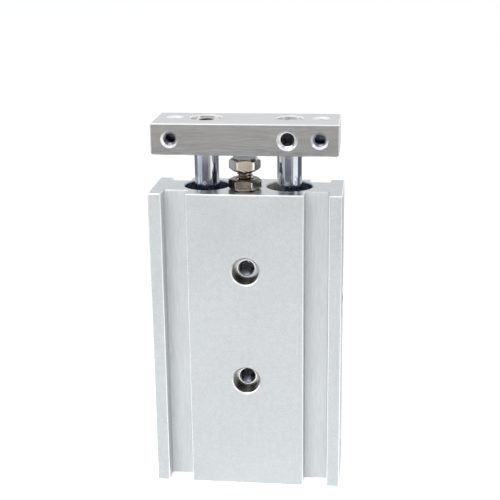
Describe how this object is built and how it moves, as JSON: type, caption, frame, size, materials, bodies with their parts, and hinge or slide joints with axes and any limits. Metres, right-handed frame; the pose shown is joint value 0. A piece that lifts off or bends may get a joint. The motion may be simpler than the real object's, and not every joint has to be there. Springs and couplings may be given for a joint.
{
  "type": "twin-rod guided air cylinder",
  "caption": "Guided air cylinder: a slotted aluminium body whose two parallel piston rods carry one end plate, with a lockable stop bolt between the rods.",
  "frame": {"origin": "middle of the body's lower end face, as seen along the rods", "axes": "+X across both rods towards rod B and the plugged ports, +Y from the face with the counterbores seen in front towards the back, +Z along the rods, out of the body"},
  "size_m": [0.046, 0.017, 0.0915],
  "materials": {
    "housing_anodised": "satin clear anodised, fine bead blast",
    "plate_anodised": "clear anodised, brushed along its length",
    "hard_chrome": "hard chrome, ground and polished",
    "screw_steel": "bright plated steel",
    "black_oxide": "black oxide",
    "bolt_plating": "nickel plated, warm",
    "nut_plating": "nickel plated, warm",
    "bolt_pad": "smooth pad, greyish",
    "plug_steel": "dark plated steel",
    "bearing_alloy": "turned bearing alloy",
    "cover_alloy": "turned, clear anodised",
    "washer_steel": "stamped",
    "spring_steel": "phosphated spring steel",
    "seal_rubber": "moulded, smooth",
    "urethane": "moulded, satin",
    "piston_alloy": "turned",
    "magnet_ferrite": "bonded ferrite, matt"
  },
  "bodies": {
    "housing": {"housing": "housing_anodised", "lock_nut": "nut_plating", "port_plug_lower": "plug_steel", "port_plug_upper": "plug_steel", "rod_cover_left": "bearing_alloy", "rod_seal_left": "seal_rubber", "seal_retainer_left": "washer_steel", "rod_end_ring_left": "spring_steel", "head_cover_left": "cover_alloy", "head_end_ring_left": "spring_steel", "rod_cover_right": "bearing_alloy", "rod_seal_right": "seal_rubber", "seal_retainer_right": "washer_steel", "rod_end_ring_right": "spring_steel", "head_cover_right": "cover_alloy", "head_end_ring_right": "spring_steel"},
    "rod_assembly": {"plate": "plate_anodised", "piston_rod_a": "hard_chrome", "piston_rod_b": "hard_chrome", "cap_screw": "screw_steel", "set_screw": "black_oxide", "piston_a": "piston_alloy", "piston_seal_a": "seal_rubber", "magnet_a": "magnet_ferrite", "piston_holder_a": "piston_alloy", "rod_side_bumper_a": "urethane", "head_side_bumper_a": "urethane", "piston_b": "piston_alloy", "piston_seal_b": "seal_rubber", "magnet_b": "magnet_ferrite", "piston_holder_b": "piston_alloy", "rod_side_bumper_b": "urethane", "head_side_bumper_b": "urethane"},
    "stop_pad": {"bolt_bumper": "bolt_pad"},
    "stop_bolt": {"bumper_bolt": "bolt_plating"}
  },
  "joints": [
    {"name": "rod_slide", "type": "slide", "parent": "housing", "child": "rod_assembly", "axis": [0, 0, 1], "range_m": [0, 0.03]},
    {"name": "stop_height", "type": "slide", "parent": "housing", "child": "stop_pad", "axis": [0, 0, 1], "range_m": [-0.0019, 0.0011]},
    {"name": "stop_turn", "type": "hinge", "parent": "stop_pad", "child": "stop_bolt", "pos_m": [-0.00045, -0.0022, 0.0811], "axis": [0, 0, 1], "range_deg": [-980, 568]}
  ],
  "couplings": [
    {"joint": "stop_turn", "follows": "stop_height", "rad_per_m": 8976}
  ]
}
